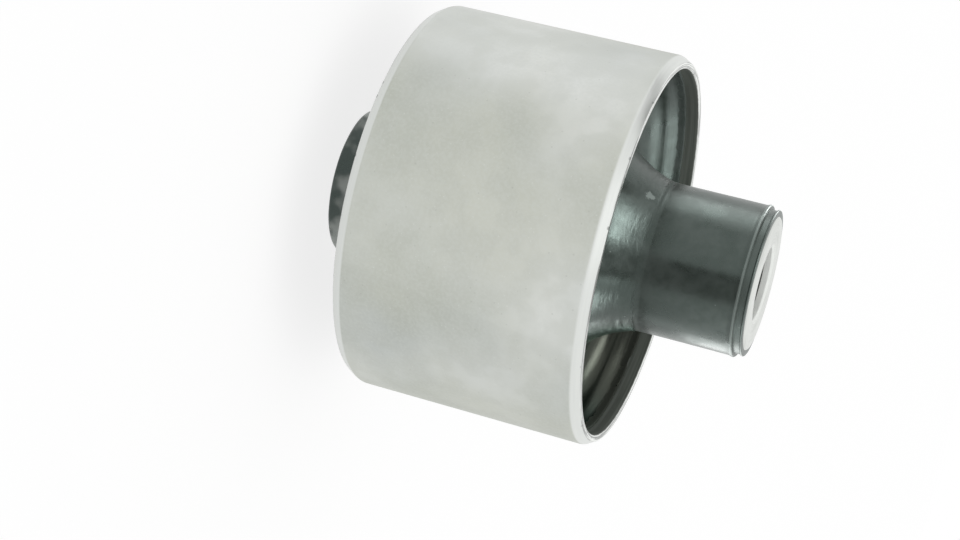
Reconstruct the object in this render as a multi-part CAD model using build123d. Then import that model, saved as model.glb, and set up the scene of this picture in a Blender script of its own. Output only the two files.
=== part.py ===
from build123d import *
import math
import os

# Rubber metal bush: a thin outer tube, a thick inner tube that passes through it and stands out
# further on one side, and one rubber moulding bonded between them.
# Millimetres. +Z is the common axis and points to the long end of the inner tube. The origin is
# the centre of the short end's face, on which the bush stands.

# Outer sleeve
sleeve_diameter = 65.0
sleeve_wall = 2.0
sleeve_length = 41.0
sleeve_chamfer_radial = 0.9      # a lead-in of about 30 degrees
sleeve_chamfer_axial = 1.5
sleeve_mouth_chamfer = 0.25      # round the inside of each end

# Inner sleeve
core_diameter = 22.0
core_reach_below = 10.0          # how far it stands out of the outer sleeve at the short end
core_reach_above = 20.0          # and at the long end
bore_diameter = 12.2             # clears an M12 bolt
bore_chamfer = 0.4
core_edge_chamfer = 0.2

# Rubber barrel, the skin round the inner sleeve
barrel_wall = 1.4
bare_end = 0.2                   # inner sleeve left uncovered at each end
corner_radius = 0.6              # rounding of the barrel's short end
ring_radius = 0.4                # rounding of the ring that closes the barrel's long end
ring_drop = 0.45                 # the ring's crest is this much lower than the barrel
groove_width = 0.7               # between the ring and the bead
bead_width = 0.8                 # low bead at the long end of the barrel
bead_height = 0.15

# Rubber flare, the concave cone that the barrel widens into
crease_height = 2.3              # crease between barrel and flare, outside the outer sleeve's end
flare_angle = 12.0               # degrees off the axis, at the crease
flare_radius = 17.0
flare_turn = 54.0                # degrees that the flare turns down to the trough's floor

# Rubber lining on the outer sleeve's inside wall
lining_wall = 1.1
lip_wall = 0.45
lip_setback = 2.3                # bare wall left inside each end of the outer sleeve
lip_width = 1.1                  # thin lip, before the lining thickens

# Rounded stretches of the rubber are turned as this many narrow cone bands each
ring_bands = 4                   # the ring at the long end, the rounded corner at the short end
flare_bands = 6
floor_bands = 6

# Worked out from the sizes above
sleeve_radius = sleeve_diameter / 2
sleeve_bore_radius = sleeve_radius - sleeve_wall
core_radius = core_diameter / 2
bore_radius = bore_diameter / 2
barrel_radius = core_radius + barrel_wall
sleeve_bottom = core_reach_below
sleeve_top = sleeve_bottom + sleeve_length
core_top = sleeve_top + core_reach_above


def turned_part(outline):
    """Turns a closed outline, drawn with the radius as X and the height as Y, about the axis."""
    return revolve(Plane.XZ * make_face(outline), Axis.Z)


def outer_sleeve():
    """Thin tube with a wide chamfer outside and a small one inside, at both ends."""
    crest_radius = sleeve_radius - sleeve_chamfer_radial
    mouth_radius = sleeve_bore_radius + sleeve_mouth_chamfer
    outline = Polyline(
        (sleeve_bore_radius, sleeve_bottom + sleeve_mouth_chamfer),
        (mouth_radius, sleeve_bottom),
        (crest_radius, sleeve_bottom),
        (sleeve_radius, sleeve_bottom + sleeve_chamfer_axial),
        (sleeve_radius, sleeve_top - sleeve_chamfer_axial),
        (crest_radius, sleeve_top),
        (mouth_radius, sleeve_top),
        (sleeve_bore_radius, sleeve_top - sleeve_mouth_chamfer),
        close=True,
    )
    return turned_part(outline)


def inner_sleeve():
    """Thick tube with a chamfered bore and a small chamfer round each end face."""
    face_radius = core_radius - core_edge_chamfer
    mouth_radius = bore_radius + bore_chamfer
    outline = Polyline(
        (bore_radius, bore_chamfer),
        (mouth_radius, 0),
        (face_radius, 0),
        (core_radius, core_edge_chamfer),
        (core_radius, core_top - core_edge_chamfer),
        (face_radius, core_top),
        (mouth_radius, core_top),
        (bore_radius, core_top - bore_chamfer),
        close=True,
    )
    return turned_part(outline)


def banded(arc, bands):
    """An arc as equal straight runs between points on it."""
    return Polyline(*[arc @ (band / bands) for band in range(bands + 1)])


def long_end_outline(reach):
    """The barrel's long end, from the inner sleeve's skin over the ring, the groove and the bead
    down to the crease. Y is zero at the outer sleeve's end and reach at the inner sleeve's."""
    rubber_end = reach - bare_end
    groove_radius = barrel_radius - ring_drop - ring_radius
    groove_top = rubber_end - 2 * ring_radius
    groove_bottom = groove_top - groove_width
    ring = ThreePointArc(
        (groove_radius, rubber_end),
        (groove_radius + ring_radius, rubber_end - ring_radius),
        (groove_radius, groove_top),
    )
    face = Line((core_radius, rubber_end), ring @ 0)
    groove_and_bead = Polyline(
        ring @ 1,
        (groove_radius, groove_bottom),
        (barrel_radius, groove_bottom),
        (barrel_radius + bead_height, groove_bottom - bead_width / 2),
        (barrel_radius, groove_bottom - bead_width),
        (barrel_radius, crease_height),
    )
    return [face, banded(ring, ring_bands), groove_and_bead]


def short_end_outline(reach):
    """The barrel's short end, from the inner sleeve's skin round the plain corner to the crease."""
    rubber_end = reach - bare_end
    corner_start = (barrel_radius - corner_radius, rubber_end)
    corner = JernArc(corner_start, (1, 0), corner_radius, -90)
    face = Line((core_radius, rubber_end), corner_start)
    barrel = Line(corner @ 1, (barrel_radius, crease_height))
    return [face, banded(corner, ring_bands), barrel]


def flaring_arc(start, angle, radius, turn):
    """An arc that sets off downwards at an angle to the axis and turns away from the axis."""
    heading = (math.sin(math.radians(angle)), -math.cos(math.radians(angle)))
    return JernArc(start, heading, radius, turn)


def trough_outline():
    """The trough, from the crease down the flare, round the floor and up the lining to its lip on
    the outer sleeve's wall. The floor is the one arc that meets flare and lining smoothly, and
    from there the lining thins to the lip in one slope."""
    lining_radius = sleeve_bore_radius - lining_wall
    lip_radius = sleeve_bore_radius - lip_wall
    floor_angle = flare_angle + flare_turn
    flare = flaring_arc((barrel_radius, crease_height), flare_angle, flare_radius, flare_turn)
    floor_start = flare @ 1
    floor_width = lining_radius - floor_start.X
    floor_radius = floor_width / (1 + math.cos(math.radians(floor_angle)))
    floor = flaring_arc(floor_start, floor_angle, floor_radius, 180 - floor_angle)
    lining = Polyline(
        floor @ 1,
        (lip_radius, -lip_setback - lip_width),
        (lip_radius, -lip_setback),
        (sleeve_bore_radius, -lip_setback),
    )
    return [banded(flare, flare_bands), banded(floor, floor_bands), lining]


def rubber_body():
    """One moulding: both ends' outlines, joined along the two tubes' walls, turned in one."""
    upper = Curve() + long_end_outline(core_reach_above) + trough_outline()
    lower = Curve() + short_end_outline(core_reach_below) + trough_outline()
    upper = Pos(0, sleeve_top) * upper
    lower = Pos(0, sleeve_bottom) * mirror(lower, about=Plane.XZ)
    outer_wall = Line(
        (sleeve_bore_radius, sleeve_top - lip_setback),
        (sleeve_bore_radius, sleeve_bottom + lip_setback),
    )
    inner_wall = Line(
        (core_radius, bare_end),
        (core_radius, core_top - bare_end),
    )
    return turned_part(Curve() + [upper, outer_wall, lower, inner_wall])


parts = {
    "outer_sleeve": outer_sleeve(),
    "rubber_body": rubber_body(),
    "inner_sleeve": inner_sleeve(),
}

os.makedirs("parts", exist_ok=True)
for node, solid in parts.items():
    export_step(solid, f"parts/{node}.step")
    print(node, round(solid.volume), solid.is_valid)
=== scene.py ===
import math

import bmesh
import bpy
from mathutils import Matrix, Vector, noise


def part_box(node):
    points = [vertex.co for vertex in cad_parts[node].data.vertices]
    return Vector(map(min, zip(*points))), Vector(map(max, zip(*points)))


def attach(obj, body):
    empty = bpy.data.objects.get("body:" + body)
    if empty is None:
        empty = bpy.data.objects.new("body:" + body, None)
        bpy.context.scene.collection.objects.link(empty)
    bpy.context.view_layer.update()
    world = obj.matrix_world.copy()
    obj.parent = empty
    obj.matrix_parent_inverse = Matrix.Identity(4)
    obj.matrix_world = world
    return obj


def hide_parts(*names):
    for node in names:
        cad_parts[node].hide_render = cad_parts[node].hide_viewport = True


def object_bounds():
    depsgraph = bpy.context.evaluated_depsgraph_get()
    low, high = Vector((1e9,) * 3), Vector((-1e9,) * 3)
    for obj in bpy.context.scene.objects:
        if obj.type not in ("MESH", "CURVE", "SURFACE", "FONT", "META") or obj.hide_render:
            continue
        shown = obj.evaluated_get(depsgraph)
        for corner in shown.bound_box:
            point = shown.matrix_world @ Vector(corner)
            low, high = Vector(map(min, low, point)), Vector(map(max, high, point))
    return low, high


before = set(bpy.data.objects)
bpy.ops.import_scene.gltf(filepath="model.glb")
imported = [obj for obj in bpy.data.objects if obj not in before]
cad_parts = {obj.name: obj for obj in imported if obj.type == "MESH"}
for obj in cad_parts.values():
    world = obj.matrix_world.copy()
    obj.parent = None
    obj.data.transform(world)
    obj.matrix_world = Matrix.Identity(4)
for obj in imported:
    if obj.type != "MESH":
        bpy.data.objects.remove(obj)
cad_low, cad_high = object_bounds()
mm = 0.001


# ---- Outer sleeve --------------------------------------------------------------------------
# The thin steel tube that is pressed into the eye of an arm. It is cut from drawn tube, chamfered
# at both ends as a lead-in, and plated a patchy pale grey. Inside it is black with bonding agent.

sleeve_low, sleeve_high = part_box("outer_sleeve")
sleeve_radius = sleeve_high.x
sleeve_bottom = sleeve_low.z
sleeve_top = sleeve_high.z
sleeve_wall = 2.0 * mm
sleeve_bore = sleeve_radius - sleeve_wall
chamfer_length = 1.5 * mm
chamfer_depth = 0.9 * mm
sleeve_mouth = 0.25 * mm
sleeve_edge = 0.07 * mm
shoulder_round = 0.35 * mm
round_steps = 288
same_place = 0.001 * mm
merge_distance = 0.0005 * mm


def pick(piece, kind, test):
    """Selects the vertices, edges or faces of a piece in edit mode that pass the test."""
    bpy.context.tool_settings.mesh_select_mode = (
        kind == "verts",
        kind == "edges",
        kind == "faces",
    )
    bpy.ops.mesh.select_all(action="DESELECT")
    shape = bmesh.from_edit_mesh(piece.data)
    for part in getattr(shape, kind):
        if test(part):
            part.select_set(True)
    shape.select_flush_mode()
    bmesh.update_edit_mesh(piece.data)


def is_hoop(edge):
    """True for an edge that runs round the axis."""
    first, second = (corner.co for corner in edge.verts)
    level = abs(first.z - second.z) < same_place
    return level and abs(first.xy.length - second.xy.length) < same_place


def hoops_at(radius, heights):
    """A test for the edges of the circles of this radius at these heights."""

    def test(edge):
        corner = edge.verts[0].co
        at_height = min(abs(corner.z - height) for height in heights) < same_place
        return is_hoop(edge) and at_height and abs(corner.xy.length - radius) < same_place

    return test


def start_tube(name, radius, bore, bottom, top, lead, depth):
    """A tube along Z with a chamfer round both ends, in edit mode: a cylinder with its ends
    extruded by the chamfer's lead, drawn in by its depth, inset and bridged through."""
    bpy.ops.object.select_all(action="DESELECT")
    bpy.ops.mesh.primitive_cylinder_add(
        vertices=round_steps,
        radius=radius,
        depth=top - bottom - 2 * lead,
        location=(0, 0, (top + bottom) / 2),
    )
    bpy.ops.object.transform_apply(location=True, rotation=False, scale=False)
    tube = bpy.context.object
    tube.name = name
    tube.data.name = name
    share = 1 - depth / radius
    bpy.ops.object.mode_set(mode="EDIT")
    for end, way in ((top, 1), (bottom, -1)):
        pick(tube, "faces", lambda face: way * face.normal.z > 0.9)
        bpy.ops.mesh.extrude_region_move(TRANSFORM_OT_translate={"value": (0, 0, way * lead)})
        bpy.ops.transform.resize(value=(share, share, 1), center_override=(0, 0, end))
        bpy.ops.mesh.inset(thickness=(radius - depth - bore) * math.cos(math.pi / round_steps))
    pick(tube, "faces", lambda face: len(face.verts) == round_steps)
    bpy.ops.mesh.bridge_edge_loops()
    return tube


def close_piece(piece, sharp_angle):
    """Merges doubles, turns the faces outwards and smooths all but the sharp edges."""
    bpy.ops.mesh.select_all(action="SELECT")
    bpy.ops.mesh.remove_doubles(threshold=merge_distance)
    bpy.ops.mesh.normals_make_consistent(inside=False)
    bpy.ops.object.mode_set(mode="OBJECT")
    bpy.ops.object.shade_smooth_by_angle(angle=math.radians(sharp_angle))
    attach(piece, "root")


outer = start_tube(
    "plated_outer_sleeve",
    sleeve_radius,
    sleeve_bore,
    sleeve_bottom,
    sleeve_top,
    chamfer_length,
    chamfer_depth,
)
pick(outer, "edges", hoops_at(sleeve_bore, (sleeve_bottom, sleeve_top)))
bpy.ops.mesh.bevel(offset=sleeve_mouth, segments=1, affect="EDGES")
shoulders = (sleeve_bottom + chamfer_length, sleeve_top - chamfer_length)
pick(outer, "edges", hoops_at(sleeve_radius, shoulders))
bpy.ops.mesh.bevel(offset=shoulder_round, segments=5, affect="EDGES")
corner_angle = math.radians(20)
pick(outer, "edges", lambda edge: is_hoop(edge) and edge.calc_face_angle(0) > corner_angle)
bpy.ops.mesh.bevel(offset=sleeve_edge, segments=2, affect="EDGES")
close_piece(outer, sharp_angle=50)
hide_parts("outer_sleeve")


def add_node(tree, kind, inputs=None, **settings):
    """A new node, with its settings, and with its inputs set or linked by name or number."""
    node = tree.nodes.new("ShaderNode" + kind)
    for name, value in settings.items():
        setattr(node, name, value)
    for socket, value in (inputs or {}).items():
        if isinstance(value, bpy.types.NodeSocket):
            tree.links.new(value, node.inputs[socket])
        else:
            node.inputs[socket].default_value = value
    return node


def compute(tree, operation, *values):
    """A Math node's result."""
    return add_node(tree, "Math", dict(enumerate(values)), operation=operation).outputs[0]


def fade(tree, value, start, end, low=0.0, high=1.0):
    """Goes smoothly from low to high while the value goes from start to end."""
    inputs = {"Value": value, "From Min": start, "From Max": end, "To Min": low, "To Max": high}
    return add_node(tree, "MapRange", inputs, interpolation_type="SMOOTHSTEP").outputs["Result"]


def mix_colours(tree, share, first, second):
    """The first colour where the share is 0 and the second where it is 1."""
    inputs = {0: share, 6: first, 7: second}
    return add_node(tree, "Mix", inputs, data_type="RGBA").outputs[2]


def grain(tree, place, size, detail=2.0):
    """Soft noise between 0 and 1, with lumps of about this size."""
    inputs = {"Vector": place, "Scale": 1 / size, "Detail": detail}
    return add_node(tree, "TexNoise", inputs).outputs[0]


def facing(tree, place, way):
    """From -1 to 1: how far the side of the piece that a point lies on faces this way."""
    inputs = {0: place["Round"], 1: way}
    return add_node(tree, "VectorMath", inputs, operation="DOT_PRODUCT").outputs["Value"]


def bump(tree, height, depth, normal=None):
    """A normal that dents the surface by this depth where the height is 0."""
    inputs = {"Height": height, "Distance": depth}
    if normal:
        inputs["Normal"] = normal
    return add_node(tree, "Bump", inputs).outputs["Normal"]


def start_group(name, inputs, outputs):
    """A shader node group with float inputs and with the outputs that are given by their kind."""
    group = bpy.data.node_groups.new(name, "ShaderNodeTree")
    for socket in inputs:
        group.interface.new_socket(name=socket, in_out="INPUT", socket_type="NodeSocketFloat")
    for socket, kind in outputs.items():
        group.interface.new_socket(name=socket, in_out="OUTPUT", socket_type="NodeSocket" + kind)
    return group, group.nodes.new("NodeGroupInput").outputs, group.nodes.new("NodeGroupOutput")


def use_group(tree, name, **inputs):
    """A node group placed in a material, with its inputs set or linked."""
    node = tree.nodes.new("ShaderNodeGroup")
    node.node_tree = bpy.data.node_groups[name]
    for socket, value in inputs.items():
        if isinstance(value, bpy.types.NodeSocket):
            tree.links.new(value, node.inputs[socket])
        else:
            node.inputs[socket].default_value = value
    return node.outputs


def start_material(name):
    """A material with its node tree and its shader's inputs."""
    material = bpy.data.materials.new(name)
    material.use_nodes = True
    return material, material.node_tree, material.node_tree.nodes["Principled BSDF"].inputs


# Where a point of a turned piece lies: its distance from the axis, its height, and its direction
group, _, result = start_group(
    "turned_place", (), {"Radius": "Float", "Height": "Float", "Round": "Vector"}
)
place = add_node(group, "TexCoord").outputs["Object"]
height = add_node(group, "SeparateXYZ", {0: place}).outputs["Z"]
flat = add_node(group, "VectorMath", {0: place, 1: (1, 1, 0)}, operation="MULTIPLY").outputs[0]
radius = add_node(group, "VectorMath", {0: flat}, operation="LENGTH").outputs["Value"]
round_way = add_node(group, "VectorMath", {0: flat}, operation="NORMALIZE").outputs[0]
group.links.new(radius, result.inputs["Radius"])
group.links.new(height, result.inputs["Height"])
group.links.new(round_way, result.inputs["Round"])

# Fine lines that run round the axis, on walls, cones and end faces alike
group, given, result = start_group("turning_lines", ("Spacing", "Waver"), {"Lines": "Float"})
place = use_group(group, "turned_place")
along = compute(group, "ADD", place["Radius"], place["Height"])
along = compute(group, "DIVIDE", along, given["Spacing"])
along = add_node(group, "CombineXYZ", {"Z": along}).outputs[0]
around = add_node(
    group, "VectorMath", {0: place["Round"], "Scale": given["Waver"]}, operation="SCALE"
).outputs[0]
place = add_node(group, "VectorMath", {0: along, 1: around}, operation="ADD").outputs[0]
group.links.new(grain(group, place, 1.0, 3.0), result.inputs["Lines"])

# Cloudy patches of finish, from 0 to 1, the more ragged the higher the detail
group, given, result = start_group(
    "cloudy_patches", ("Size", "Seed", "Detail"), {"Patches": "Float"}
)
place = add_node(group, "TexCoord").outputs["Object"]
place = add_node(group, "VectorMath", {0: place, 1: given["Seed"]}, operation="ADD").outputs[0]
scale = compute(group, "DIVIDE", 1.0, given["Size"])
clouds = add_node(
    group,
    "TexNoise",
    {"Vector": place, "Scale": scale, "Detail": given["Detail"], "Roughness": 0.45},
).outputs[0]
group.links.new(fade(group, clouds, 0.27, 0.68), result.inputs["Patches"])

# Scattered specks: 1 on a speck, 0 elsewhere
group, given, result = start_group("specks", ("Size", "Share"), {"Specks": "Float"})
place = add_node(group, "TexCoord").outputs["Object"]
scale = compute(group, "DIVIDE", 0.3, given["Size"])
cells = add_node(group, "TexVoronoi", {"Vector": place, "Scale": scale})
chance = add_node(group, "SeparateColor", {0: cells.outputs["Color"]}).outputs[0]
chosen = compute(group, "LESS_THAN", chance, given["Share"])
dot = fade(group, cells.outputs["Distance"], 0.28, 0.14)
group.links.new(compute(group, "MULTIPLY", chosen, dot), result.inputs["Specks"])

pale_plating = (0.732, 0.75, 0.726, 1)
grey_plating = (0.512, 0.540, 0.518, 1)
stain_colour = (0.50, 0.514, 0.415, 1)
blotch_colour = (0.495, 0.514, 0.465, 1)
# Painted light on the sleeve's side towards -X
painted_light_side_colour = (0.84, 0.86, 0.84, 1)
frost_colour = (0.64, 0.665, 0.63, 1)
light_speck_colour = (0.74, 0.76, 0.73, 1)
dark_speck_colour = (0.27, 0.28, 0.25, 1)
turned_colours = (0.68, 0.70, 0.68, 1), (0.78, 0.80, 0.77, 1)
scuff_colours = (0.30, 0.31, 0.30, 1), (0.90, 0.92, 0.89, 1)
chip_colour = (0.16, 0.17, 0.16, 1)
coat_colours = (0.092, 0.104, 0.088, 1), (0.168, 0.186, 0.162, 1)
lit_side_way = (-0.87, -0.49, 0)
coat_reach = 0.10 * mm
plating_roughness = 0.50
shiny_roughness = 0.44
turned_roughness = 0.36
coat_roughness = 0.5

outer_paint, tree, shader = start_material("plated_outer_steel")
place = use_group(tree, "turned_place")

# How far a point is from mid-length: first the plated wall, then the turned chamfer, then the end
middle = (sleeve_bottom + sleeve_top) / 2
half = (sleeve_top - sleeve_bottom) / 2
shoulder = half - chamfer_length
along = compute(tree, "ABSOLUTE", compute(tree, "SUBTRACT", place["Height"], middle))
turned = fade(tree, along, shoulder - 0.2 * mm, shoulder + 0.2 * mm)
faced = fade(tree, along, half - 0.12 * mm, half - 0.02 * mm)

# Plating: shiny and dull clouds, yellowish stains, blotches, painted light on one side, frost and
# specks
bright_clouds = use_group(tree, "cloudy_patches", Size=20 * mm, Seed=2.09, Detail=3.5)["Patches"]
dark_clouds = use_group(tree, "cloudy_patches", Size=26 * mm, Seed=5.708, Detail=3.5)["Patches"]
shine = compute(tree, "MULTIPLY_ADD", dark_clouds, -0.45, 0.45)
shine = compute(tree, "MULTIPLY_ADD", bright_clouds, 0.55, shine)
plated = mix_colours(tree, shine, grey_plating, pale_plating)
stains = use_group(tree, "cloudy_patches", Size=26 * mm, Seed=2.172, Detail=3.5)["Patches"]
stain_share = compute(tree, "MULTIPLY", stains, 0.5)
plated = mix_colours(tree, stain_share, plated, stain_colour)
blotches = use_group(tree, "cloudy_patches", Size=4.5 * mm, Seed=0.71, Detail=5.0)["Patches"]
blotch_share = fade(tree, blotches, 0.10, 0.90, 0.0, 0.30)
plated = mix_colours(tree, blotch_share, plated, blotch_colour)
# Painted light: the side that faces -X, a little towards -Y, is painted paler
painted_light_share = fade(tree, facing(tree, place, lit_side_way), 0.86, 0.98, 0.0, 0.3)
plated = mix_colours(tree, painted_light_share, plated, painted_light_side_colour)
frost = grain(tree, add_node(tree, "TexCoord").outputs["Object"], 0.5 * mm, 3.0)
frost_share = fade(tree, frost, 0.35, 0.7, 0.0, 0.30)
plated = mix_colours(tree, frost_share, plated, frost_colour)
light_specks = use_group(tree, "specks", Size=0.14 * mm, Share=0.08)["Specks"]
light_share = compute(tree, "MULTIPLY", light_specks, 0.35)
plated = mix_colours(tree, light_share, plated, light_speck_colour)
dark_specks = use_group(tree, "specks", Size=0.2 * mm, Share=0.03)["Specks"]
dark_share = compute(tree, "MULTIPLY", dark_specks, 0.18)
plated = mix_colours(tree, dark_share, plated, dark_speck_colour)

# Turned chamfers, scuffed end faces, and chips along their rims
lines = use_group(tree, "turning_lines", Spacing=0.14 * mm, Waver=2.5)["Lines"]
metal = mix_colours(tree, turned, plated, mix_colours(tree, lines, *turned_colours))
scuffs = fade(tree, lines, 0.42, 0.58)
metal = mix_colours(tree, faced, metal, mix_colours(tree, scuffs, *scuff_colours))
chips = use_group(tree, "specks", Size=0.4 * mm, Share=0.28)["Specks"]
at_rim = fade(tree, along, half - 0.35 * mm, half - 0.05 * mm, 0.0, 0.7)
metal = mix_colours(tree, compute(tree, "MULTIPLY", chips, at_rim), metal, chip_colour)

# The inside wall's coat of bonding agent, brushed on, with a smeared edge at the mouths
smears = use_group(tree, "cloudy_patches", Size=1.2 * mm, Seed=0.4, Detail=4.0)["Patches"]
edge = compute(tree, "MULTIPLY_ADD", smears, -0.04 * mm, place["Radius"])
coated = fade(tree, edge, sleeve_bore + coat_reach, sleeve_bore + 0.5 * coat_reach)
brushed = use_group(tree, "turning_lines", Spacing=0.5 * mm, Waver=1.5)["Lines"]
coat = mix_colours(tree, fade(tree, brushed, 0.3, 0.7), *coat_colours)
tree.links.new(mix_colours(tree, coated, metal, coat), shader["Base Color"])
tree.links.new(compute(tree, "SUBTRACT", 1.0, coated), shader["Metallic"])
rough = fade(tree, shine, 0.0, 1.0, plating_roughness, shiny_roughness)
rough = fade(tree, turned, 0.0, 1.0, rough, turned_roughness)
tree.links.new(fade(tree, coated, 0.0, 1.0, rough, coat_roughness), shader["Roughness"])
normal = bump(tree, frost, 0.005 * mm)
tree.links.new(bump(tree, lines, 0.004 * mm, normal), shader["Normal"])
outer.data.materials.append(outer_paint)


# ---- Inner sleeve --------------------------------------------------------------------------
# The thick steel tube that the bolt clamps. It is parted off and faced bright at both ends,
# with a small chamfer at the bore, and the rubber is moulded round it almost to its ends.

core_low, core_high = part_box("inner_sleeve")
core_radius = core_high.x
core_bottom = core_low.z
core_top = core_high.z
bore_radius = 6.1 * mm
bore_chamfer = 0.4 * mm
core_chamfer = 0.2 * mm
core_edge = 0.04 * mm
# Depth from the ends at which the bore's painted shade begins
shade_start_depth = 1.4 * mm
faced_colours = (0.65, 0.67, 0.64, 1), (0.73, 0.75, 0.72, 1)
score_colour = (0.46, 0.48, 0.45, 1)
rubbed_colour = (0.86, 0.88, 0.85, 1)
# Painted light in the near-white bore colours, and painted shade in the dark one
painted_light_bore_colours = (0.92, 0.94, 0.91, 1), (0.97, 0.99, 0.96, 1)
painted_shade_bore_colour = (0.09, 0.095, 0.085, 1)

core = start_tube(
    "faced_inner_sleeve",
    core_radius,
    bore_radius,
    core_bottom,
    core_top,
    core_chamfer,
    core_chamfer,
)
pick(core, "edges", hoops_at(bore_radius, (core_bottom, core_top)))
bpy.ops.mesh.bevel(offset=bore_chamfer, segments=1, affect="EDGES")
pick(core, "edges", is_hoop)
bpy.ops.mesh.bevel(offset=core_edge, segments=2, affect="EDGES")
close_piece(core, sharp_angle=50)
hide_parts("inner_sleeve")

core_paint, tree, shader = start_material("faced_inner_steel")
place = use_group(tree, "turned_place")
mouth_radius = bore_radius + bore_chamfer
bored = fade(tree, place["Radius"], mouth_radius, bore_radius + 0.2 * bore_chamfer)

# End faces: cloudy, scored by the parting tool, and rubbed brighter round the bore's mouth
patches = use_group(tree, "cloudy_patches", Size=7 * mm, Seed=0.27, Detail=4.0)["Patches"]
faced = mix_colours(tree, patches, *faced_colours)
lines = use_group(tree, "turning_lines", Spacing=0.3 * mm, Waver=1.2)["Lines"]
scored = fade(tree, lines, 0.5, 0.75, 0.0, 0.35)
faced = mix_colours(tree, scored, faced, score_colour)
rubbed = fade(tree, place["Radius"], mouth_radius + 0.3 * mm, bore_radius)
faced = mix_colours(tree, rubbed, faced, rubbed_colour)

# Bore: finely turned, partly painted light in its near-white colours, and painted dark as painted
# shade further in than a little inside the mouths
fine_lines = use_group(tree, "turning_lines", Spacing=0.07 * mm, Waver=4.0)["Lines"]
bore_wall = mix_colours(tree, fine_lines, *painted_light_bore_colours)
half = (core_top - core_bottom) / 2
depth = compute(tree, "SUBTRACT", place["Height"], (core_top + core_bottom) / 2)
depth = compute(tree, "SUBTRACT", half, compute(tree, "ABSOLUTE", depth))
painted_deep_shade = fade(tree, depth, shade_start_depth - 0.10 * mm, shade_start_depth + 0.02 * mm)
bore_wall = mix_colours(tree, painted_deep_shade, bore_wall, painted_shade_bore_colour)
tree.links.new(mix_colours(tree, bored, faced, bore_wall), shader["Base Color"])
tree.links.new(fade(tree, bored, 0.0, 1.0, 1.0, 0.7), shader["Metallic"])
rough = fade(tree, lines, 0.3, 0.7, 0.36, 0.46)
tree.links.new(fade(tree, bored, 0.0, 1.0, rough, 0.6), shader["Roughness"])
normal = bump(tree, lines, 0.004 * mm)
tree.links.new(bump(tree, fine_lines, 0.002 * mm, normal), shader["Normal"])
core.data.materials.append(core_paint)


# ---- Rubber --------------------------------------------------------------------------------
# One black moulding, vulcanised to both tubes: a barrel with a bead and an end ring, a crease,
# a flare, a deep trough, and a lining that thins to a ragged lip on the outer tube's wall.

barrel_radius = 12.4 * mm
bare_end = 0.2 * mm
corner_round = 0.6 * mm
groove_radius = 11.85 * mm
ring_size = 0.2 * mm
groove_width = 1.0 * mm
bead_size = 0.4 * mm
bead_rise = 0.15 * mm
crease_height = 2.3 * mm
flare_angle = math.radians(12)
flare_radius = 17 * mm
flare_turn = math.radians(54)
floor_stop = math.radians(5)
lining_radius = sleeve_bore - 1.1 * mm
lip_radius = sleeve_bore - 0.32 * mm
lip_setback = 2.3 * mm
lip_width = 1.1 * mm
crease_round = 0.8 * mm
lip_round = 0.2 * mm
groove_corner = 0.05 * mm
ring_steps = 10
corner_steps = 6
barrel_steps = 30
flare_steps = 54
floor_steps = 26


class Outline:
    """An outline in the XZ plane, drawn in edit mode by extruding and spinning its last point.
    Heights are measured outwards from the outer sleeve's end, up or down."""

    def __init__(self, piece, base, outward):
        self.piece = piece
        self.base = base
        self.outward = outward

    def tip(self):
        """Where the last point lies."""
        shape = bmesh.from_edit_mesh(self.piece.data)
        return next(corner.co.copy() for corner in shape.verts if corner.select)

    def place(self, radius, height):
        """A point of the XZ plane, as a vector."""
        return Vector((radius, 0, self.base + self.outward * height))

    def run(self, radius, height, steps=1):
        """Straight on to a point, in equal steps."""
        step = (self.place(radius, height) - self.tip()) / steps
        for _ in range(steps):
            bpy.ops.mesh.extrude_region_move(TRANSFORM_OT_translate={"value": step})

    def sweep(self, radius, height, turn, steps):
        """On round a centre, by an angle that is positive from outwards to away from the axis."""
        bpy.ops.mesh.spin(
            steps=steps,
            angle=-turn * self.outward,
            center=self.place(radius, height),
            axis=(0, 1, 0),
        )


flare_centre = barrel_radius + flare_radius * math.cos(flare_angle)
flare_centre_height = crease_height + flare_radius * math.sin(flare_angle)
flare_end = flare_angle + flare_turn
floor_start = flare_centre - flare_radius * math.cos(flare_end)
floor_start_height = flare_centre_height - flare_radius * math.sin(flare_end)
floor_radius = (lining_radius - floor_start) / (1 + math.cos(flare_end))
floor_centre = lining_radius - floor_radius
floor_centre_height = floor_start_height + floor_radius * math.sin(flare_end)


def draw_ringed_end(outline, rubber_end):
    """The long end's ring, groove and bead, from the inner sleeve's skin to the barrel."""
    groove_top = rubber_end - 2 * ring_size
    groove_bottom = groove_top - groove_width
    outline.run(groove_radius, rubber_end)
    outline.sweep(groove_radius, rubber_end - ring_size, math.pi, ring_steps)
    outline.run(groove_radius, groove_bottom)
    outline.run(barrel_radius, groove_bottom)
    outline.run(barrel_radius + bead_rise, groove_bottom - 0.4 * bead_size)
    outline.run(barrel_radius + bead_rise, groove_bottom - 1.0 * bead_size)
    outline.run(barrel_radius, groove_bottom - 2.0 * bead_size)


def draw_plain_end(outline, rubber_end):
    """The short end's rounded corner, from the inner sleeve's skin to the barrel."""
    corner_radius = barrel_radius - corner_round
    outline.run(corner_radius, rubber_end)
    outline.sweep(corner_radius, rubber_end - corner_round, math.pi / 2, corner_steps)


def draw_trough(outline):
    """On down the barrel, over the crease, through the trough and up to the outer sleeve's wall."""
    floor_turn = flare_end + floor_stop - math.pi
    outline.run(barrel_radius, crease_height, barrel_steps)
    outline.sweep(flare_centre, flare_centre_height, -flare_turn, flare_steps)
    outline.sweep(floor_centre, floor_centre_height, floor_turn, floor_steps)
    outline.run(lip_radius, -lip_setback - lip_width, 3)
    outline.run(lip_radius, -lip_setback, 2)
    outline.run(sleeve_bore, -lip_setback)


def start_outline(radius, height):
    """Sets down one selected point in the XZ plane of the mesh in edit mode."""
    bpy.ops.mesh.select_all(action="DESELECT")
    bpy.ops.mesh.primitive_plane_add(size=mm, location=(radius, 0, height))
    bpy.ops.mesh.merge(type="CENTER")


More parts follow.
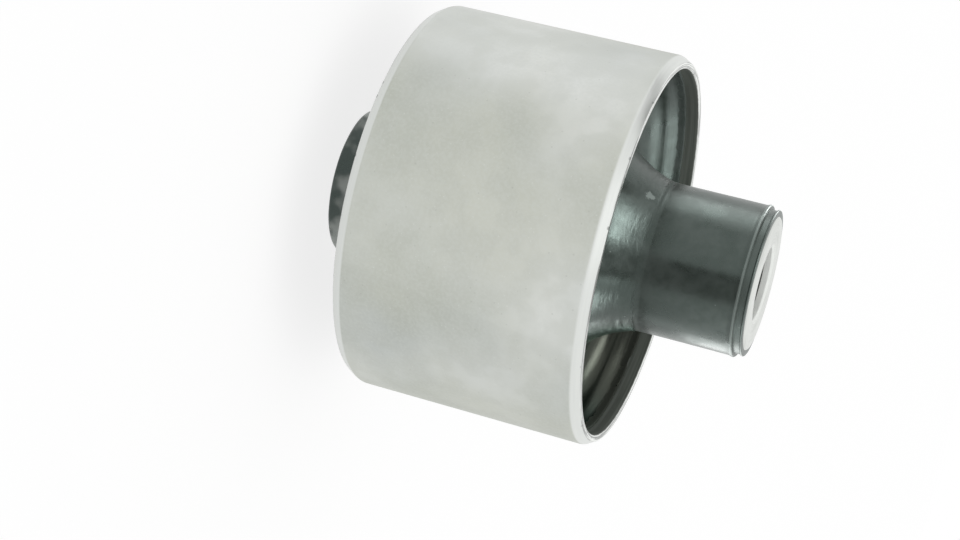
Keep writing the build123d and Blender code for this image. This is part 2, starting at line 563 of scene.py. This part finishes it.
bpy.ops.object.select_all(action="DESELECT")
bpy.ops.mesh.primitive_plane_add(size=mm)
rubber = bpy.context.object
rubber.name = "bonded_rubber"
rubber.data.name = "bonded_rubber"
bpy.ops.object.mode_set(mode="EDIT")
bpy.ops.mesh.select_mode(type="VERT")
bpy.ops.mesh.select_all(action="SELECT")
bpy.ops.mesh.delete(type="VERT")

start_outline(core_radius, core_top - bare_end)
long_end = Outline(rubber, sleeve_top, 1)
draw_ringed_end(long_end, core_top - bare_end - sleeve_top)
draw_trough(long_end)
start_outline(core_radius, core_bottom + bare_end)
short_end = Outline(rubber, sleeve_bottom, -1)
draw_plain_end(short_end, sleeve_bottom - core_bottom - bare_end)
draw_trough(short_end)
for wall_radius in (sleeve_bore, core_radius):
    pick(rubber, "verts", lambda corner: abs(corner.co.x - wall_radius) < same_place)
    bpy.ops.mesh.edge_face_add()
bpy.ops.mesh.select_all(action="SELECT")
bpy.ops.mesh.spin(
    steps=round_steps, angle=math.tau, center=(0, 0, 0), axis=(0, 0, 1), use_auto_merge=True
)
bpy.ops.mesh.select_all(action="SELECT")
bpy.ops.mesh.remove_doubles(threshold=merge_distance)

creases = (sleeve_top + crease_height, sleeve_bottom - crease_height)
pick(rubber, "edges", hoops_at(barrel_radius, creases))
bpy.ops.mesh.bevel(offset=crease_round, segments=6, affect="EDGES")
lips = (sleeve_top - lip_setback, sleeve_bottom + lip_setback)
pick(rubber, "edges", hoops_at(lip_radius, lips))
bpy.ops.mesh.bevel(offset=lip_round, segments=3, affect="EDGES")
groove_bottom = core_top - bare_end - 2 * ring_size - groove_width
pick(rubber, "edges", hoops_at(barrel_radius, (groove_bottom,)))
bpy.ops.mesh.bevel(offset=groove_corner, segments=2, affect="EDGES")

# The lip is torn a little where the flash was pulled off, with one nick, the skin is slightly wavy,
# and the flare has two short folds under its crease on one side. Angles are degrees from +X.
tear_depth = 0.08 * mm
tears_round = 9
nick_angle = 51.4
nick_width = 1.3
nick_depth = 0.5 * mm
wave_height = 0.022 * mm
broad_wave = 7 * mm
narrow_wave = 2.6 * mm
narrow_share = 0.35
fold_width = 0.32 * mm
fold_reach = 9
close_by = 0.01 * mm
off_core = core_radius + 0.3 * mm

# Each fold's angle, its height over the outer sleeve's end, and its depth
folds = ((-27, 0.6 * mm, 0.05 * mm), (-25, -0.6 * mm, 0.06 * mm))

shape = bmesh.from_edit_mesh(rubber.data)
for corner in shape.verts:
    around = Vector((corner.co.x, corner.co.y, 0)).normalized()
    angle = math.degrees(math.atan2(around.y, around.x))
    for end, way in ((sleeve_top, 1), (sleeve_bottom, -1)):
        depth = way * (end - corner.co.z)
        on_lip = corner.co.xy.length > lip_radius - close_by
        if on_lip and lip_setback - close_by < depth < lip_setback + lip_round:
            tear = noise.noise(around * tears_round + Vector((0, 0, way)))
            nick = math.exp(-(((angle - nick_angle) / nick_width) ** 2))
            corner.co.z -= way * (tear_depth * tear + nick_depth * nick)
    if off_core < corner.co.xy.length < lining_radius:
        swell = noise.noise(corner.co / broad_wave)
        swell += narrow_share * noise.noise(corner.co / narrow_wave)
        corner.co += corner.normal * (wave_height * swell)
        for fold_angle, fold_height, fold_depth in folds:
            across = (corner.co.z - sleeve_top - fold_height) / fold_width
            along = (angle - fold_angle) / fold_reach
            corner.co -= corner.normal * fold_depth * math.exp(-(across**2) - along**4)
bmesh.update_edit_mesh(rubber.data)
close_piece(rubber, sharp_angle=40)
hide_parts("rubber_body")

black = (0.0115, 0.0145, 0.0115, 1)
bloom_colour = (0.038, 0.043, 0.039, 1)
# Painted light for the short barrel's reflections
painted_light_colour = (0.72, 0.75, 0.71, 1)
# Real wear, and the bead crest's painted highlight
worn_and_highlit_colour = (0.15, 0.17, 0.16, 1)
dim_trough_colour = (0.050, 0.054, 0.045, 1)
darker_trough_side = (1, 0, 0)
dim_trough_side = (0.75, 0.66, 0)
moulded_side = (-0.87, -0.5, 0)
ring_height = 18 * mm
rub_place = Vector((-9.2, -9.0, 51.5)) * mm
clean_roughness = 0.25
bloom_roughness = 0.36
dull_roughness = 0.8
rubber_index = 1.75
rubber_tint = (0.80, 1.0, 0.93, 1)

rubber_paint, tree, shader = start_material("black_rubber")
place = use_group(tree, "turned_place")
skin = add_node(tree, "TexCoord").outputs["Object"]
above = compute(tree, "SUBTRACT", place["Height"], sleeve_top)
below = compute(tree, "SUBTRACT", sleeve_bottom, place["Height"])
outwards = compute(tree, "MAXIMUM", above, below)
in_trough = fade(tree, outwards, crease_height + 0.4 * mm, crease_height - 0.6 * mm)

# Pale bloom in patches, thick on the long end's ring, with less of it on the troughs' +X side,
# which shows darker
clouds = use_group(tree, "cloudy_patches", Size=5 * mm, Seed=0.35, Detail=4.0)["Patches"]
smudges = use_group(tree, "cloudy_patches", Size=1.6 * mm, Seed=0.62, Detail=4.0)["Patches"]
patchy = fade(tree, clouds, -0.3, 1.0)
smudged = fade(tree, smudges, 0.0, 1.0, 0.5, 1.0)
bloom = compute(tree, "MULTIPLY", patchy, smudged)
ring_zone = fade(tree, above, ring_height - 0.1 * mm, ring_height + 0.3 * mm, 0.0, 1.2)
bloom = compute(tree, "MAXIMUM", bloom, ring_zone)
# The troughs' +X side gets less bloom and shows darker
darker_trough = fade(tree, facing(tree, place, darker_trough_side), 0.1, 0.7)
darker_trough = compute(tree, "MULTIPLY", darker_trough, in_trough)
bloom = compute(tree, "MULTIPLY", bloom, compute(tree, "SUBTRACT", 1.0, darker_trough))
colour = mix_colours(tree, bloom, black, bloom_colour)

# Painted light on the short barrel: pale patches that stand in for its reflections
painted_light_patches = use_group(tree, "cloudy_patches", Size=5.5 * mm, Seed=4.759, Detail=2.0)["Patches"]
painted_light_patches = fade(tree, painted_light_patches, 0.26, 0.90)
painted_light_patches = compute(tree, "MULTIPLY", painted_light_patches, fade(tree, below, 3.0 * mm, 5.0 * mm))
colour = mix_colours(tree, painted_light_patches, colour, painted_light_colour)

# The bead's crest is painted lighter as a painted highlight, and a few crumbs and one rubbed mark
# on the flare are worn lighter
highlit_crest = fade(tree, place["Radius"], barrel_radius + 0.11 * mm, barrel_radius + 0.14 * mm)
near_bead = compute(tree, "GREATER_THAN", above, ring_height - 1.0 * mm)
highlit_crest = compute(tree, "MULTIPLY", highlit_crest, near_bead)
crumbs = use_group(tree, "specks", Size=0.15 * mm, Share=0.008)["Specks"]
worn_and_highlit = compute(tree, "MULTIPLY", compute(tree, "MAXIMUM", highlit_crest, crumbs), 0.8)
from_rub = add_node(tree, "VectorMath", {0: skin, 1: rub_place}, operation="DISTANCE")
rub = compute(tree, "MULTIPLY_ADD", smudges, -0.9 * mm, from_rub.outputs["Value"])
rub = compute(tree, "MULTIPLY_ADD", grain(tree, skin, 0.3 * mm), -1.2 * mm, rub)
rub = fade(tree, rub, -0.2 * mm, -0.8 * mm, 0.0, 1.6)
worn_and_highlit = compute(tree, "MAXIMUM", worn_and_highlit, rub)
colour = mix_colours(tree, worn_and_highlit, colour, worn_and_highlit_colour)

# One side of the troughs is made to shine less and show darker than the rest. The shader takes it
# as dark metal, whose colour sets how much it shines.
dim_trough = fade(tree, facing(tree, place, dim_trough_side), 0.2, 0.7)
dim_trough = compute(tree, "MULTIPLY", dim_trough, in_trough)
colour = mix_colours(tree, dim_trough, colour, dim_trough_colour)
tree.links.new(dim_trough, shader["Metallic"])
tree.links.new(colour, shader["Base Color"])
shader["Specular Tint"].default_value = rubber_tint
shader["IOR"].default_value = rubber_index

# Matt places: the bloom, the torn lip, and the mould's line along one side of the crease
ragged = compute(tree, "MULTIPLY_ADD", smudges, 0.12 * mm, place["Radius"])
torn = fade(tree, ragged, lip_radius, lip_radius + 0.05 * mm)
torn = compute(tree, "MULTIPLY", torn, compute(tree, "LESS_THAN", outwards, 0.0))
from_crease = compute(tree, "ABSOLUTE", compute(tree, "SUBTRACT", outwards, crease_height))
mould_line = fade(tree, from_crease, 0.50 * mm, 0.04 * mm, 0.0, 0.5)
moulded = fade(tree, facing(tree, place, moulded_side), 0.45, 0.85)
mould_line = compute(tree, "MULTIPLY", mould_line, moulded)
rough = fade(tree, bloom, 0.0, 1.0, clean_roughness, bloom_roughness)
matt = compute(tree, "MAXIMUM", mould_line, torn)
tree.links.new(fade(tree, matt, 0.0, 1.0, rough, dull_roughness), shader["Roughness"])

# Skin: orange peel, fine pores, and streaks drawn round the troughs
peel = grain(tree, skin, 2.2 * mm, 2.0)
peel = compute(tree, "MULTIPLY", peel, fade(tree, in_trough, 0.0, 1.0, 0.9, 0.35))
pores = grain(tree, skin, 0.35 * mm, 2.0)
streaks = use_group(tree, "turning_lines", Spacing=0.32 * mm, Waver=8.0)["Lines"]
drawn = compute(tree, "MULTIPLY", compute(tree, "SUBTRACT", streaks, 0.5), in_trough)
fainter = fade(tree, place["Radius"], 16 * mm, 22 * mm, 1.0, 0.35)
drawn = compute(tree, "MULTIPLY", drawn, fainter)
normal = bump(tree, peel, 0.026 * mm)
normal = bump(tree, pores, 0.004 * mm, normal)
normal = bump(tree, drawn, 0.050 * mm, normal)
tree.links.new(normal, shader["Normal"])
rubber.data.materials.append(rubber_paint)


# ---- Studio --------------------------------------------------------------------------------
# A white floor on which the bush stands in an even white room, with softboxes for the rubber's
# shine and grey cards that only show where it is mirrored. The camera is rolled on its axis.

floor_size = 14.0
floor_grey = (0.28, 0.28, 0.28, 1)
floor_glow = 0.80
stage_roughness = 0.9
room_light = 0.7
white = (1, 1, 1, 1)

bpy.ops.object.select_all(action="DESELECT")
bpy.ops.mesh.primitive_plane_add(size=floor_size, location=(0, 0, cad_low.z))
floor = bpy.context.object
floor.name = "studio_floor"


def seen_or_mirrored(tree):
    """1 for rays from the camera, from a mirror or through glass, else 0."""
    rays = add_node(tree, "LightPath").outputs
    shown = compute(tree, "MAXIMUM", rays["Is Camera Ray"], rays["Is Glossy Ray"])
    return compute(tree, "MAXIMUM", shown, rays["Is Transmission Ray"])


# The floor's glow makes it white to the camera and in mirrors but lights nothing, and its grey
# takes the light and the bush's shadow
floor_paint, tree, shader = start_material("white_floor")
shader["Base Color"].default_value = floor_grey
shader["Roughness"].default_value = stage_roughness
shader["Specular IOR Level"].default_value = 0.0
shader["Emission Color"].default_value = white
glow = compute(tree, "MULTIPLY", seen_or_mirrored(tree), floor_glow)
tree.links.new(glow, shader["Emission Strength"])
floor.data.materials.append(floor_paint)

# The room shows plain white but gives less light than that
world = bpy.data.worlds.new("white_room")
bpy.context.scene.world = world
world.use_nodes = True
tree = world.node_tree
background = tree.nodes["Background"].inputs
background["Color"].default_value = white
strength = fade(tree, seen_or_mirrored(tree), 0.0, 1.0, room_light, 1.0)
tree.links.new(strength, background["Strength"])

lit_point = Vector((0, 0, sleeve_top))


def towards(azimuth, elevation, distance):
    """A place seen from the bush's long end. Azimuth runs from the camera's side to -X."""
    flat = math.cos(math.radians(elevation))
    return lit_point + distance * Vector(
        (
            -flat * math.sin(math.radians(azimuth)),
            -flat * math.cos(math.radians(azimuth)),
            math.sin(math.radians(elevation)),
        )
    )


# Watts for each square metre of a panel, at which a mirror shows it plain white
mirror_white = 4.0


def softbox(name, lit_piece, place, target, width, height, brightness):
    """A soft panel that faces its target and lights one piece alone. Brightness is what a mirror
    shows of it, with 1 for white."""
    lamp = bpy.data.lights.new(name, "AREA")
    lamp.shape = "RECTANGLE"
    lamp.size = width
    lamp.size_y = height
    lamp.energy = brightness * mirror_white * width * height
    panel = bpy.data.objects.new(name, lamp)
    bpy.context.scene.collection.objects.link(panel)
    panel.location = place
    panel.rotation_euler = (target - place).to_track_quat("-Z", "Y").to_euler()
    panel.visible_camera = False
    lit_pieces = bpy.data.collections.new(name + "_pieces")
    lit_pieces.objects.link(lit_piece)
    panel.light_linking.receiver_collection = lit_pieces


softbox("low_key_softbox", rubber, towards(97, -6, 0.20), lit_point, 0.12, 0.05, 2.2)
softbox("corner_softbox", rubber, towards(45, 38, 0.30), lit_point, 0.09, 0.09, 9.5)
softbox("front_softbox", rubber, towards(20, 43, 0.30), lit_point, 0.06, 0.06, 15.0)
softbox("fill_softbox", rubber, towards(-105, -8, 0.30), lit_point, 0.09, 0.09, 0.5)
far_wall = Vector((-25, 15, 45)) * mm
beside = Vector((30, 19, 68)) * mm
softbox("trough_softbox", rubber, beside, far_wall, 0.024, 0.024, 2.4)
above_it = Vector((38, -8, 78)) * mm
softbox("upper_softbox", rubber, above_it, far_wall, 0.02, 0.02, 3.5)
softbox("near_softbox", rubber, towards(-45, 38, 0.30), lit_point, 0.09, 0.09, 1.3)
low_wall = Vector((20, 20, 43.5)) * mm
over_rim = Vector((-29.0, 24.3, 81.0)) * mm
softbox("streak_softbox", rubber, over_rim, low_wall, 0.034, 0.012, 4.8)
softbox("rim_softbox", outer, towards(15, 50, 0.35), lit_point, 0.26, 0.10, 0.3)


def grey_card(name, place, target, width, height, grey):
    """A card that only shows where the bush mirrors it."""
    bpy.ops.object.select_all(action="DESELECT")
    bpy.ops.mesh.primitive_plane_add(size=1, location=place)
    card = bpy.context.object
    card.name = name
    card.scale = (width, height, 1)
    card.rotation_euler = (target - place).to_track_quat("Z", "Y").to_euler()
    card.visible_camera = False
    card.visible_diffuse = False
    card.visible_shadow = False
    paint, _, shader = start_material(name)
    shader["Base Color"].default_value = (grey, grey, grey, 1)
    shader["Roughness"].default_value = stage_roughness
    card.data.materials.append(paint)


barrel_middle = Vector((6.3, 0, 61.3)) * mm
before_barrel = Vector((6.3, -20, 61.3)) * mm
grey_card("barrel_card", before_barrel, barrel_middle, 0.013, 0.0155, 0.9)
trough_wall = Vector((20, 20, 43)) * mm
over_trough = Vector((-61, -11, 91)) * mm
grey_card("trough_card", over_trough, trough_wall, 0.026, 0.027, 0.03)
rim_top = Vector((-25, -20, 50)) * mm
beside_rim = Vector((-63, -3, 67)) * mm
grey_card("rim_card", beside_rim, rim_top, 0.010, 0.012, 0.7)

camera_place = Vector((0, -303.94, 109.02)) * mm
camera_aim = Vector((9.36, 0, 24.87)) * mm
camera_roll = math.radians(104.725)
camera_lens = 71.152
camera_sensor = 36
camera_data = bpy.data.cameras.new("camera")
camera_data.lens = camera_lens
camera_data.sensor_width = camera_sensor
camera = bpy.data.objects.new("camera", camera_data)
bpy.context.scene.collection.objects.link(camera)
aim = (camera_aim - camera_place).to_track_quat("-Z", "Y").to_matrix()
camera.matrix_world = Matrix.Translation(camera_place) @ (
    aim @ Matrix.Rotation(camera_roll, 3, "Z")
).to_4x4()
bpy.context.scene.camera = camera
bpy.context.scene.view_settings.view_transform = "Standard"
